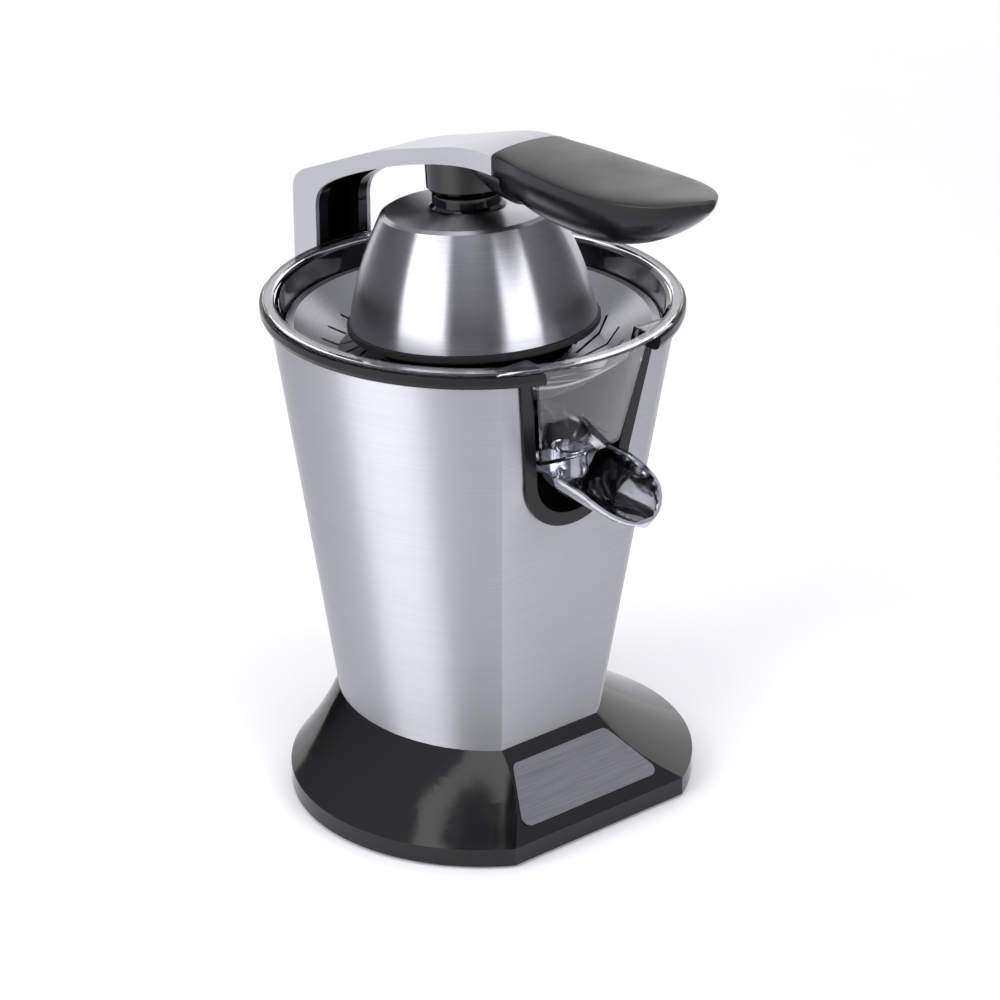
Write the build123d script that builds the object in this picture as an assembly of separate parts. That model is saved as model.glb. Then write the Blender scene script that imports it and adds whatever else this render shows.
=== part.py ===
"""Lever-arm electric citrus press.

A steel sleeve stands on a weighted plastic base and holds the motor and a two-stage spur gearbox.
A clear bowl with a strainer hangs in a black basin at the top, and drains through a tilting spout.
A lever arm hinged behind the rim swings a steel press dome down over the ribbed reamer.

Units are millimetres. The origin is on the drive axis, in the plane that the foot ring stands on.
+Z is up, the spout points along -Y, and the arm's hinge is at +Y. Angles are in degrees.
"""
from build123d import *
import os
from math import acos, cos, hypot, pi, radians, sin, sqrt, tan

# ---------------------------------------------------------------- driving dimensions
# clearances
FLAT_GAP = 0.3             # between faces of pieces that are dropped in
RUN_GAP = 0.05             # radial, between a shaft or pin and its bearing
SEAT_GAP = 0.02            # radial, between a bush and the hole that it is seated in

# base
SKIRT_Z = 1.5              # lower edge of the base cover
EDGE_Z = 10.2              # crisp upper edge of the base cover's upright skirt
BASE_RX = 97.75
BASE_RY = 92.9
BASE_CY = -13.7
BASE_FRONT_Y = -93.0       # flat front of the base
BASE_WALL = 2.4
FLARE_SAG = 2.0            # hollow of the flare between skirt and sleeve
PLATE_THICK = 2.7
FOOT_R = 76.0
FOOT_WIDTH = 8.0
FOOT_CY = -8.0
FOOT_HEIGHT = 3.0

# steel sleeve
SLEEVE_Z = 37.0            # lower edge
RIM_Z = 230.5              # lower edge of the collar: it sets the stand's height
SLEEVE_TOP = RIM_Z + 2.7
SLEEVE_RX = 58.8           # at the lower edge
SLEEVE_RY = 68.8
SLEEVE_CY = 4.0
RIM_R = 92.0               # sleeve radius at RIM_Z
SHEET = 0.8
FACET_LOW_Y = -56.0        # flat front of the sleeve, at SLEEVE_Z
FACET_HIGH_Y = 13.0 - RIM_R  # and at RIM_Z
LEDGE = 6.0                # width of the base's seat for the sleeve
SPIGOT_HIGH = 5.0

# badge plate on the sloped front of the base
BADGE_TOP_W = 28.0
BADGE_LOW_W = 42.0
BADGE_START = 8.2          # down the slope from the sleeve's edge
BADGE_END = 38.8
BADGE_THICK = 1.2
BADGE_SUNK = 0.6

# collar, basin, bowl
COLLAR_R = RIM_R + 4.4
COLLAR_TOP = RIM_Z + 6.5
BOWL_RIM_R = COLLAR_R - 1.4
BOWL_RIM_TOP = COLLAR_TOP + 2.6
BOWL_TOP_R = BOWL_RIM_R - 5.6  # outside of the bowl's wall at BOWL_TOP_Z
BOWL_TOP_Z = COLLAR_TOP - 1.0
BOWL_DEPTH = 50.0
BOWL_LOW_R = BOWL_TOP_R - 10.6
BOWL_LOW_Z = BOWL_TOP_Z - BOWL_DEPTH  # underside of the bowl's floor
BOWL_WALL = 1.8
BASIN_GAP = 0.4
BASIN_WALL = 1.3
WINDOW_TOP_W = 32.5        # half width of the bowl's front window at its top
WINDOW_TOP_Z = BOWL_RIM_TOP - 1.1
WINDOW_LOW_W = 23.0
COLUMN_R = 13.0            # bowl's centre column
COLUMN_WALL = 3.0
CHIMNEY_R = COLUMN_R - COLUMN_WALL - 0.6  # basin's tube inside that column
CHIMNEY_WALL = 2.4
CHIMNEY_BORE = CHIMNEY_R - CHIMNEY_WALL
CHIMNEY_HIGH = 20.0        # above the bowl's underside
NOZZLE_Y = 24.0 - RIM_R
NOZZLE_R = 8.5
NOZZLE_BORE = 6.5
NOZZLE_Z = BOWL_LOW_Z - 11.0

# strainer
STRAIN_R = BOWL_TOP_R - 4.8
STRAIN_Z = BOWL_TOP_Z - 9.8    # underside of its lip
STRAIN_DEPTH = 16.0
STRAIN_FLOOR_Z = STRAIN_Z - STRAIN_DEPTH
STRAIN_FLOOR_R = STRAIN_R - 22.6
STRAIN_THICK = 0.8
SLOT_COUNT = 28            # straight slots, set across the radius like a fan
SLOT_LENGTH = 36.0
SLOT_WIDE = 1.4
SLOT_TURN = 52.0
SLOT_MIDDLE_R = STRAIN_FLOOR_R - 6.0

# U-shaped trim, with the pocket that the spout sits in
U_TOP_W = 38.0             # outer half width at RIM_Z
U_LOW_W = 30.0
U_LOW_Z = BOWL_LOW_Z - 6.0   # where its round bottom starts
U_BOTTOM = U_LOW_Z - 30.2
MOUTH_GAP = 0.6            # from the window's edges to the mouth of the trim
BAND_PROUD = 1.2
BAY_WALL = 1.6
BAY_BACK_Y = NOZZLE_Y + 14.0
BAY_TOP = BOWL_LOW_Z - 2.1

# spout
SPOUT_W = WINDOW_LOW_W - 0.8
SPOUT_ROUND_W = 20.0       # half width where its round tip starts
SPOUT_BACK_Y = BAY_BACK_Y - 3.4
SPOUT_TAPER_Y = SPOUT_BACK_Y - 26.6
SPOUT_ROUND_Y = SPOUT_TAPER_Y - 17.0
SPOUT_TIP_Y = SPOUT_ROUND_Y - 19.0
SPOUT_RIM_Z = BOWL_LOW_Z - 3.4  # its rim is level as far as the taper
SPOUT_DIP = 2.6            # of the rim over the taper
SPOUT_LIP = 6.5            # how far the rim bends down at the tip, below a straight run
SPOUT_DEPTH = 13.4         # at its back
SPOUT_FALL = 2.6           # of its floor from back to tip
SPOUT_LEAST = 2.2          # depth at the tip
SPOUT_WALL = 1.3
SPOUT_PIVOT = (SPOUT_BACK_Y - 8.6, BOWL_LOW_Z - 5.6)
SPOUT_PIN_R = 1.8

# arm and hinge
PIVOT_Y = RIM_R + 14.5
PIVOT_Z = RIM_Z - 17.5
RAISE = 4.5                # the arm's angle at rest, above its pressed position
ARM_W = 16.0
ARM_GRIP_W = 20.0
ARM_WALL = 2.0
ARM_FRONT_Y = PIVOT_Y - 9.0
ARM_BACK_Y = PIVOT_Y + 9.0
EAR_R = 9.0
HINGE_PIN_R = 3.0
LUG_W = 11.4
LINER_STRIP = 6.0
GRIP_Y = PIVOT_Y - 144.5     # joint between the silver arm and the grip
GRIP_LENGTH = 115.5
GRIP_TIP_Y = GRIP_Y - GRIP_LENGTH
GRIP_CROWN = 3.4

# press dome, in the pressed position; it leans back with the arm at rest
DOME_Y = -1.5
DOME_R = 56.4
DOME_Z = RIM_Z - 10.9
SHOULDER_R = 39.0
SHOULDER_Z = DOME_Z + 50.9
DOME_TOP_Z = SHOULDER_Z + 1.9
DOME_WALL = 1.2
LINING_WALL = 1.5
DOME_RING_R = DOME_R + 1.2
DOME_RING_Z = DOME_Z - 3.7
NECK_R = 15.8
NECK_TOP = DOME_TOP_Z + 6.5
SOCKET_R = NECK_R + 2.4
SOCKET_Z = NECK_TOP + 1.4
BALL_R = 5.5
BALL_Z = SOCKET_Z + 6.2
STEM_R = 3.2
TRUNNION_R = 2.0           # pins on the ball, so that the dome rocks about X alone
TRUNNION_END = BALL_R + 3.5

# reamer and its shaft
REAMER_R = 45.5
REAMER_Z = STRAIN_FLOOR_Z + 4.4
REAMER_TIP = REAMER_Z + 42.4
REAMER_RIBS = 8
SHAFT_R = 4.0
HEX_FLATS = 2 * SHAFT_R
SHAFT_LOW = 116.5
SHAFT_TOP = REAMER_Z + 16.4
PRESS_TRAVEL = 3.0
THRUST_Z = 150.0           # underside of the shaft's collar
CUP_R = 12.0

# gear train: pinion and wheel of each stage are alike, so the output is on the motor's axis
MODULE = 1.0
PINION_TEETH = 15
WHEEL_TEETH = 57
PRESSURE_ANGLE = 25.0
BACKLASH = 0.2
CENTRES = MODULE * (PINION_TEETH + WHEEL_TEETH) / 2
AXLE_R = 3.0

# motor and gearbox heights
FRAME_Z = 40.0             # motor frame disc
FRAME_THICK = 3.5
STATOR_Z = 52.0
STATOR_HIGH = 40.0
STATOR_W = 72.0
ROTOR_R = 22.4
AIR_GAP = 0.6
BOX_Z = 99.0               # gearbox floor
BOX_WALL = 2.0
BOX_R = 31.0               # inside radius round each gear axis
COVER_Z = 128.0
COVER_THICK = 3.0
PINION_Z = 103.5
PINION_WIDE = 8.0
WHEEL_WIDE = 6.0
FINAL_Z = 114.0
FINAL_WIDE = 9.0
BUSH_R = 7.0
JOURNAL_R = 9.0
BOLT_SPAN = 31.0
BOLT_R = 2.0
LEG_X = 26.0
LEG_Y = 42.0
LEG_R = 5.0
MOUNT_HIGH = 5.0

os.makedirs("parts", exist_ok=True)
parts = {}


# ---------------------------------------------------------------- helpers
def lerp(a, b, t):
    return a + (b - a) * t


def rod(radius, z0, z1, x=0.0, y=0.0):
    """Upright cylinder between two heights."""
    return Pos(x, y, z0) * Cylinder(radius, z1 - z0, align=(Align.CENTER, Align.CENTER, Align.MIN))


def tube(outer, inner, z0, z1, x=0.0, y=0.0):
    return rod(outer, z0, z1, x, y) - rod(inner, z0 - 1, z1 + 1, x, y)


def block(x0, x1, y0, y1, z0, z1):
    return Pos((x0 + x1) / 2, (y0 + y1) / 2, (z0 + z1) / 2) * Box(x1 - x0, y1 - y0, z1 - z0)


def cross_rod(radius, x0, x1, y, z):
    """Cylinder along X."""
    return Pos(x0, y, z) * Rot(0, 90, 0) * Cylinder(
        radius, x1 - x0, align=(Align.CENTER, Align.CENTER, Align.MIN))


def turned(points, y=0.0):
    """Solid of revolution from (radius, height) points."""
    face = make_face(Plane.XZ * Polyline(*points, close=True))
    return Pos(0, y, 0) * revolve(face, Axis.Z)


def prism_front(outline, y0, y1):
    """A face drawn in X and Z, extruded from y0 forwards to y1."""
    return Pos(0, y0, 0) * extrude(Plane.XZ * outline, amount=y0 - y1)


def prism_side(outline, half):
    """A face drawn in Y and Z, extruded to both sides."""
    return extrude(Plane.YZ * outline, amount=half, both=True)


def oval(rx, ry, cy, z):
    return Pos(0, cy, z) * scale(Circle(10), by=(rx / 10, ry / 10, 1))


def hexagon(flats, z0, z1):
    return Pos(0, 0, z0) * extrude(RegularPolygon(flats / 2, 6, major_radius=False), amount=z1 - z0)


def offset_curve(points, distance):
    """Points of an open curve, moved sideways: a positive distance goes to the curve's right."""
    moved = []
    for index, (y, z) in enumerate(points):
        y0, z0 = points[max(index - 1, 0)]
        y1, z1 = points[min(index + 1, len(points) - 1)]
        length = hypot(y1 - y0, z1 - z0)
        moved.append((y + distance * (z1 - z0) / length, z - distance * (y1 - y0) / length))
    return moved


# ---------------------------------------------------------------- sleeve and its facet
FACET_LEAN = (FACET_HIGH_Y - FACET_LOW_Y) / (RIM_Z - SLEEVE_Z)


def facet_y(z):
    return FACET_LOW_Y + FACET_LEAN * (z - SLEEVE_Z)


def ahead_of_facet(inset, depth=90.0):
    """Everything in front of the facet plane, moved inwards by inset."""
    plane = Plane(origin=(0, facet_y(0), 0), x_dir=(1, 0, 0), z_dir=(0, -1, FACET_LEAN))
    return plane.offset(-inset) * Pos(0, 0, depth / 2) * Box(400, 900, depth)


def facet_slab(front, back):
    """The layer between two distances behind the facet plane; in front of it they are negative."""
    return ahead_of_facet(back) - ahead_of_facet(front)


def sleeve_form(z0, z1, inset):
    """The sleeve's outer form between two heights, made smaller all round by inset."""
    faces = []
    for z in (z0, z1):
        t = (z - SLEEVE_Z) / (RIM_Z - SLEEVE_Z)
        faces.append(oval(lerp(SLEEVE_RX, RIM_R, t) - inset, lerp(SLEEVE_RY, RIM_R, t) - inset,
                          lerp(SLEEVE_CY, 0, t), z))
    return loft(faces, ruled=True) - ahead_of_facet(inset)


def bowl_r(z):
    return lerp(BOWL_LOW_R, BOWL_TOP_R, (z - BOWL_LOW_Z) / (BOWL_TOP_Z - BOWL_LOW_Z))


def bowl_cone(z0, z1, grow):
    return turned([(0, z0), (bowl_r(z0) + grow, z0), (bowl_r(z1) + grow, z1), (0, z1)])


def window_w(z):
    return lerp(WINDOW_LOW_W, WINDOW_TOP_W, (z - BOWL_LOW_Z) / (WINDOW_TOP_Z - BOWL_LOW_Z))


def window_block(z0, z1, grow):
    """The front bay of the bowl, as a block with sloped sides."""
    outline = make_face(Polyline(
        (-window_w(z0) - grow, z0), (window_w(z0) + grow, z0),
        (window_w(z1) + grow, z1), (-window_w(z1) - grow, z1), close=True))
    return prism_front(outline, -30, -RIM_R - 18)


FLAT_BASIN = SHEET + BASIN_GAP                        # depth of the basin's flat front
FLAT_BOWL = FLAT_BASIN + BASIN_WALL + BASIN_GAP       # and of the bowl's, beside the window


def bowl_form(z0, z1, shrink):
    """Outside of the bowl's wall: a cone with a flat front, and a window that bulges from it."""
    cone = bowl_cone(z0, z1, -shrink)
    flat = cone - ahead_of_facet(FLAT_BOWL + shrink)
    return flat + (cone & window_block(z0, z1, -shrink))


def u_face(top_w, low_w, low_z, bottom, top_z):
    """U-shaped face: sides that draw in down to low_z, then a round bottom."""
    side_l = Line((-top_w, top_z), (-low_w, low_z))
    round_low = ThreePointArc((-low_w, low_z), (0, bottom), (low_w, low_z))
    side_r = Line((low_w, low_z), (top_w, top_z))
    lid = Line((top_w, top_z), (-top_w, top_z))
    return make_face([side_l, round_low, side_r, lid])


def mouth_face(grow, top_z=RIM_Z):
    """The mouth of the trim, which lies just outside the bowl's window."""
    low_w = WINDOW_LOW_W + MOUTH_GAP + grow
    low_z = U_LOW_Z
    top_w = window_w(top_z) + MOUTH_GAP + grow
    return u_face(top_w, low_w, low_z, low_z - low_w, top_z)


def trim_face(grow, top_z=RIM_Z - 0.2):
    top_w = lerp(U_LOW_W, U_TOP_W, (top_z - U_LOW_Z) / (RIM_Z - U_LOW_Z))
    return u_face(top_w + grow, U_LOW_W + grow, U_LOW_Z, U_BOTTOM - grow, top_z)


# ---------------------------------------------------------------- base
def flare(inset, drop):
    """The base's outer form: an upright skirt, then a hollow flare up to the sleeve."""
    faces = []
    for t in (0, 1 / 3, 2 / 3, 1):
        sag = FLARE_SAG * 4 * t * (1 - t)
        faces.append(oval(lerp(BASE_RX, SLEEVE_RX, t) - sag - inset,
                          lerp(BASE_RY, SLEEVE_RY, t) - sag - inset,
                          lerp(BASE_CY, SLEEVE_CY, t), lerp(EDGE_Z, SLEEVE_Z, t) - drop))
    skirt = extrude(oval(BASE_RX - inset, BASE_RY - inset, BASE_CY, SKIRT_Z - 3),
                    amount=EDGE_Z - drop - SKIRT_Z + 3)
    return skirt + loft(faces)


PAD_RUN = FACET_LOW_Y - BASE_FRONT_Y
PAD_FALL = SLEEVE_Z - EDGE_Z
PAD = Plane(origin=(0, FACET_LOW_Y, SLEEVE_Z), x_dir=(1, 0, 0), z_dir=(0, -PAD_FALL, PAD_RUN))


def ahead_of_pad(inset):
    slope = PAD.offset(-inset) * Pos(0, 0, 40) * Box(300, 300, 80)
    front = block(-150, 150, BASE_FRONT_Y - 100, BASE_FRONT_Y + inset, -20, 60)
    return slope + front


def badge_solid(grow, low, high):
    outline = make_face(Polyline(
        (-BADGE_TOP_W - grow, -BADGE_START + grow), (BADGE_TOP_W + grow, -BADGE_START + grow),
        (BADGE_LOW_W + grow, -BADGE_END - grow), (-BADGE_LOW_W - grow, -BADGE_END - grow), close=True))
    outline = fillet(outline.vertices(), 4.0)
    return PAD.offset(low) * extrude(outline, amount=high - low)


BOSSES = [(-72, -50), (72, -50), (-63, 43), (63, 43)]
BOSS_R = 4.5
SCREW_R = 1.5
SCREW_HEAD_R = 3.0
SCREW_HEAD = 1.8
PLATE_TOP = SKIRT_Z + PLATE_THICK
GLAND_Z = 20.0
GLAND_R = 6.0
GLAND_BORE = 3.6
GLAND_IN_Y = 60.0
GLAND_OUT_Y = 84.0

base_outer = flare(0, 0) - ahead_of_pad(0) - block(-150, 150, -150, 150, -20, SKIRT_Z)
base_inner = flare(BASE_WALL, BASE_WALL * 0.6) - ahead_of_pad(BASE_WALL)
base_cover = base_outer - base_inner
# a flat seat for the sleeve, with a spigot that stands up inside it
seat = sleeve_form(SLEEVE_Z - 4, SLEEVE_Z, 0.3) & base_outer
spigot = sleeve_form(SLEEVE_Z - 1, SLEEVE_Z + SPIGOT_HIGH, SHEET + FLAT_GAP)
shaft_well = sleeve_form(SLEEVE_Z - 12, SLEEVE_Z + 12, LEDGE)
base_cover = base_cover + seat + spigot - shaft_well
for x, y in BOSSES:
    boss = rod(BOSS_R, PLATE_TOP, 30, x, y) & base_outer
    base_cover = base_cover + boss - rod(SCREW_R + 0.02, SKIRT_Z - 1, 14, x, y)
base_cover = base_cover - badge_solid(0.2, -BADGE_SUNK, 5)
gland_hole = Pos(0, GLAND_IN_Y, GLAND_Z) * Rot(-90, 0, 0) * Cylinder(
    GLAND_R + SEAT_GAP, 60, align=(Align.CENTER, Align.CENTER, Align.MIN))
base_cover = base_cover - gland_hole
parts["base_cover"] = base_cover

plate = extrude(oval(BASE_RX - BASE_WALL - FLAT_GAP, BASE_RY - BASE_WALL - FLAT_GAP, BASE_CY, SKIRT_Z),
                amount=PLATE_THICK)
plate = plate - block(-150, 150, -200, BASE_FRONT_Y + BASE_WALL + FLAT_GAP, -5, 20)
FOOT_SEAT = FOOT_HEIGHT - SKIRT_Z
plate = plate - tube(FOOT_R + 0.1, FOOT_R - FOOT_WIDTH - 0.1, 0, SKIRT_Z + FOOT_SEAT, y=FOOT_CY)
for x, y in BOSSES:
    plate = plate - rod(SCREW_R + 0.2, 0, 10, x, y)
    plate = plate - rod(SCREW_HEAD_R + 0.2, 0, SKIRT_Z + SCREW_HEAD * 0.5, x, y)
for index in range(-3, 4):
    plate = plate - block(index * 9 - 1.5, index * 9 + 1.5, -24, 16, 0, 10)
parts["base_plate"] = plate
parts["foot_ring"] = tube(FOOT_R, FOOT_R - FOOT_WIDTH, 0, FOOT_HEIGHT, y=FOOT_CY)

SCREW_SEAT = SKIRT_Z + SCREW_HEAD * 0.5
parts["base_screws"] = Compound(children=[
    rod(SCREW_HEAD_R, SCREW_SEAT - SCREW_HEAD * 0.5, SCREW_SEAT, x, y) + rod(SCREW_R, SCREW_SEAT, 13, x, y)
    for x, y in BOSSES])
parts["badge_plate"] = badge_solid(0, -BADGE_SUNK, BADGE_THICK - BADGE_SUNK)
gland = Pos(0, GLAND_IN_Y, GLAND_Z) * Rot(-90, 0, 0) * Cylinder(
    GLAND_R, GLAND_OUT_Y - GLAND_IN_Y, align=(Align.CENTER, Align.CENTER, Align.MIN))
gland = gland - Pos(0, GLAND_IN_Y - 1, GLAND_Z) * Rot(-90, 0, 0) * Cylinder(
    GLAND_BORE, 60, align=(Align.CENTER, Align.CENTER, Align.MIN))
parts["cable_gland"] = gland
parts["terminal_block"] = block(-14, 14, 40, 54, PLATE_TOP, PLATE_TOP + 13)

# ---------------------------------------------------------------- sleeve
sleeve = sleeve_form(SLEEVE_Z, SLEEVE_TOP, 0) - sleeve_form(SLEEVE_Z - 1, SLEEVE_TOP + 1, SHEET)
OPENING_IN = 4.0                       # the sheet's opening lies this far inside the trim's outer edge
sleeve = sleeve - prism_front(trim_face(-OPENING_IN, SLEEVE_TOP + 5), -45, -RIM_R - 18)

BRACKET_SCREWS = [(x, PIVOT_Z + z) for x in (-13.5, 13.5) for z in (11.0, -17.0)]
BRACKET_SCREW_R = 2.0
SCREW_TIP_Y = BOWL_TOP_R - 1.3


def screw_line(x, z, radius, y0, y1):
    return Pos(x, y0, z) * Rot(-90, 0, 0) * Cylinder(
        radius, y1 - y0, align=(Align.CENTER, Align.CENTER, Align.MIN))


for x, z in BRACKET_SCREWS:
    sleeve = sleeve - screw_line(x, z, BRACKET_SCREW_R + 0.2, RIM_R - 22, RIM_R + 18)
parts["sleeve"] = sleeve

# ---------------------------------------------------------------- collar, basin and trim
COLLAR_GROOVE = 0.35
FLANGE_R = 94.0                        # basin's flange, let into the collar
FLANGE_THICK = 2.0
FLANGE_TOP = COLLAR_TOP - 0.2
BASIN_GROW = BASIN_GAP + BASIN_WALL
collar = turned([
    (RIM_R + 0.9, RIM_Z), (COLLAR_R - 1.0, RIM_Z + 1.1), (COLLAR_R, RIM_Z + 3.3), (COLLAR_R, COLLAR_TOP),
    (FLANGE_R + 0.2, COLLAR_TOP), (FLANGE_R + 0.2, FLANGE_TOP - FLANGE_THICK),
    (BOWL_TOP_R + BASIN_GROW + 0.3, FLANGE_TOP - FLANGE_THICK), (BOWL_TOP_R + BASIN_GROW + 0.3, SLEEVE_TOP),
    (RIM_R + 0.9, SLEEVE_TOP)])
# the web that closes the collar in front of the facet, on both sides of the window
web = rod(RIM_R + 1.2, RIM_Z + 0.2, FLANGE_TOP - FLANGE_THICK) & ahead_of_facet(-0.2)
web = web - window_block(RIM_Z - 5, COLLAR_TOP + 5, MOUTH_GAP)
collar = collar - window_block(RIM_Z - 5, COLLAR_TOP + 5, MOUTH_GAP) + web
collar = collar - block(-40, 40, RIM_R + 2.6, RIM_R + 28, RIM_Z - 30, RIM_Z + 30)
parts["top_collar"] = collar

CHIMNEY_TOP = BOWL_LOW_Z + CHIMNEY_HIGH
basin_out = bowl_cone(BOWL_LOW_Z - 2.0, FLANGE_TOP, BASIN_GROW) - ahead_of_facet(FLAT_BASIN)
basin_in = bowl_cone(BOWL_LOW_Z - BASIN_GAP, FLANGE_TOP + 1, BASIN_GAP) - ahead_of_facet(FLAT_BASIN + BASIN_WALL)
basin = basin_out - basin_in
flange = tube(FLANGE_R, BOWL_TOP_R + BASIN_GAP, FLANGE_TOP - FLANGE_THICK, FLANGE_TOP)
flange = flange - window_block(RIM_Z - 5, COLLAR_TOP + 5, MOUTH_GAP)
basin = basin + flange - window_block(BOWL_LOW_Z - 10, COLLAR_TOP + 5, MOUTH_GAP) \
    + tube(CHIMNEY_R, CHIMNEY_BORE, BOWL_LOW_Z - 2.0, CHIMNEY_TOP) \
    - rod(CHIMNEY_BORE, BOWL_LOW_Z - 36, BOWL_LOW_Z + 34)
basin = basin - block(-WINDOW_LOW_W - 3, WINDOW_LOW_W + 3, -RIM_R - 8, BAY_BACK_Y, BOWL_LOW_Z - 10, BOWL_LOW_Z - BASIN_GAP)
for x, z in BRACKET_SCREWS:
    lug = screw_line(x, z, 4.2, RIM_R - 14, RIM_R + 3) & (
        sleeve_form(PIVOT_Z - 33, RIM_Z + 1.5, SHEET + FLAT_GAP) - bowl_cone(PIVOT_Z - 33, BOWL_TOP_Z, BASIN_GROW - 0.3))
    basin = basin + lug - screw_line(x, z, BRACKET_SCREW_R, SCREW_TIP_Y, RIM_R + 8)
basin = basin - basin_in + tube(CHIMNEY_R, CHIMNEY_BORE, BOWL_LOW_Z - 1.0, CHIMNEY_TOP)
parts["basin"] = basin

SLAB_BACK = SHEET + BASIN_GAP - 0.1
band = prism_front(trim_face(0) - mouth_face(0, RIM_Z + 5), -45, -RIM_R - 18) & facet_slab(-BAND_PROUD, -0.05)
throat = prism_front(mouth_face(BAY_WALL, RIM_Z - 0.2) - mouth_face(0, RIM_Z + 5), -45, -RIM_R - 18)
throat = throat & facet_slab(-BAND_PROUD, SLAB_BACK)
pocket_out = prism_front(mouth_face(BAY_WALL, BAY_TOP), BAY_BACK_Y + BAY_WALL, -RIM_R - 18)
pocket_in = prism_front(mouth_face(0, BAY_TOP + 60), BAY_BACK_Y, -RIM_R - 28)
pocket = (pocket_out - ahead_of_facet(-BAND_PROUD)) - pocket_in
bay = band + throat + pocket
for side in (-1, 1):
    x0 = side * (SPOUT_W + FLAT_GAP)
    x1 = side * (SPOUT_W + 5)
    cheek = cross_rod(SPOUT_PIN_R + 1.6, min(x0, x1), max(x0, x1), *SPOUT_PIVOT)
    bay = bay + cheek - cross_rod(SPOUT_PIN_R + RUN_GAP, min(x0, x1) - 1, max(x0, x1) - 0, *SPOUT_PIVOT)
parts["spout_bay"] = bay

# ---------------------------------------------------------------- clear bowl and strainer
bowl = bowl_form(BOWL_LOW_Z, BOWL_TOP_Z + 1, 0) - bowl_form(BOWL_LOW_Z + BOWL_WALL, BOWL_TOP_Z + 6, BOWL_WALL)
RIM_LIP = 89.7
rim = turned([(BOWL_TOP_R - BOWL_WALL, COLLAR_TOP), (BOWL_RIM_R - 0.5, COLLAR_TOP),
              (BOWL_RIM_R, COLLAR_TOP + 0.5), (BOWL_RIM_R, BOWL_RIM_TOP - 0.8), (BOWL_RIM_R - 0.8, BOWL_RIM_TOP),
              (RIM_LIP + 0.8, BOWL_RIM_TOP), (RIM_LIP, BOWL_RIM_TOP - 1.0)])
# beside the window the rim closes over the bowl's flat front
shelf = rod(RIM_LIP + 2.0, COLLAR_TOP - 0.1, BOWL_RIM_TOP - 1.4) & ahead_of_facet(FLAT_BOWL + BOWL_WALL)
shelf = shelf - window_block(RIM_Z, COLLAR_TOP + 6, -BOWL_WALL)
bowl = bowl + rim + shelf
bowl = bowl + tube(COLUMN_R, COLUMN_R - COLUMN_WALL, BOWL_LOW_Z, STRAIN_FLOOR_Z)
bowl = bowl - rod(COLUMN_R - COLUMN_WALL, BOWL_LOW_Z - 1, STRAIN_FLOOR_Z + 1)
bowl = bowl + rod(NOZZLE_R, NOZZLE_Z, BOWL_LOW_Z + 1, y=NOZZLE_Y)
bowl = bowl - rod(NOZZLE_BORE, NOZZLE_Z - 1, BOWL_LOW_Z + BOWL_WALL + 1, y=NOZZLE_Y)
LEDGE_Z = STRAIN_Z - 1.2
bowl_ledge = tube(bowl_r(LEDGE_Z) - BOWL_WALL + 0.3, STRAIN_R - 1.6, LEDGE_Z, STRAIN_Z)
bowl_ledge = bowl_ledge - ahead_of_facet(FLAT_BOWL + BOWL_WALL - 0.3)
bowl = bowl + bowl_ledge
parts["bowl"] = bowl

strainer = turned([
    (COLUMN_R - COLUMN_WALL, STRAIN_FLOOR_Z), (STRAIN_FLOOR_R, STRAIN_FLOOR_Z), (STRAIN_R - 3, STRAIN_Z),
    (STRAIN_R, STRAIN_Z), (STRAIN_R, STRAIN_Z + STRAIN_THICK), (STRAIN_R - 3.4, STRAIN_Z + STRAIN_THICK),
    (STRAIN_FLOOR_R - 0.3, STRAIN_FLOOR_Z + STRAIN_THICK), (COLUMN_R - COLUMN_WALL, STRAIN_FLOOR_Z + STRAIN_THICK)])
strainer = strainer - ahead_of_facet(FLAT_BOWL + BOWL_WALL + 0.4)
cutters = []
for index in range(SLOT_COUNT):
    cutters.append(Rot(0, 0, 360 / SLOT_COUNT * index) * Pos(SLOT_MIDDLE_R, 0, STRAIN_FLOOR_Z)
                   * Rot(0, 0, SLOT_TURN) * Box(SLOT_LENGTH, SLOT_WIDE, 40))
strainer = strainer - Compound(children=cutters)
parts["strainer"] = strainer


# ---------------------------------------------------------------- spout
def spout_width(y):
    if y > SPOUT_TAPER_Y:
        return SPOUT_W
    if y > SPOUT_ROUND_Y:
        return lerp(SPOUT_W, SPOUT_ROUND_W, (SPOUT_TAPER_Y - y) / (SPOUT_TAPER_Y - SPOUT_ROUND_Y))
    reach = (SPOUT_ROUND_Y - y) / (SPOUT_ROUND_Y - SPOUT_TIP_Y)
    return SPOUT_ROUND_W * sqrt(max(1 - reach * reach, 0))


def spout_rim(y):
    """Height of the rim: level, then a dip over the taper, which runs on and bends into a pouring lip."""
    taper = SPOUT_TAPER_Y - SPOUT_ROUND_Y
    run = min(max((SPOUT_TAPER_Y - y) / taper, 0), 1)
    past = max(SPOUT_ROUND_Y - y, 0)
    lip = SPOUT_LIP * (past / (SPOUT_ROUND_Y - SPOUT_TIP_Y)) ** 2
    return SPOUT_RIM_Z - SPOUT_DIP * run * run - 2 * SPOUT_DIP / taper * past - lip


def spout_depth(y):
    fall = SPOUT_FALL * (SPOUT_BACK_Y - y) / (SPOUT_BACK_Y - SPOUT_TIP_Y)
    return max(spout_rim(y) - (SPOUT_RIM_Z - SPOUT_DEPTH - fall), SPOUT_LEAST)


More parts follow.
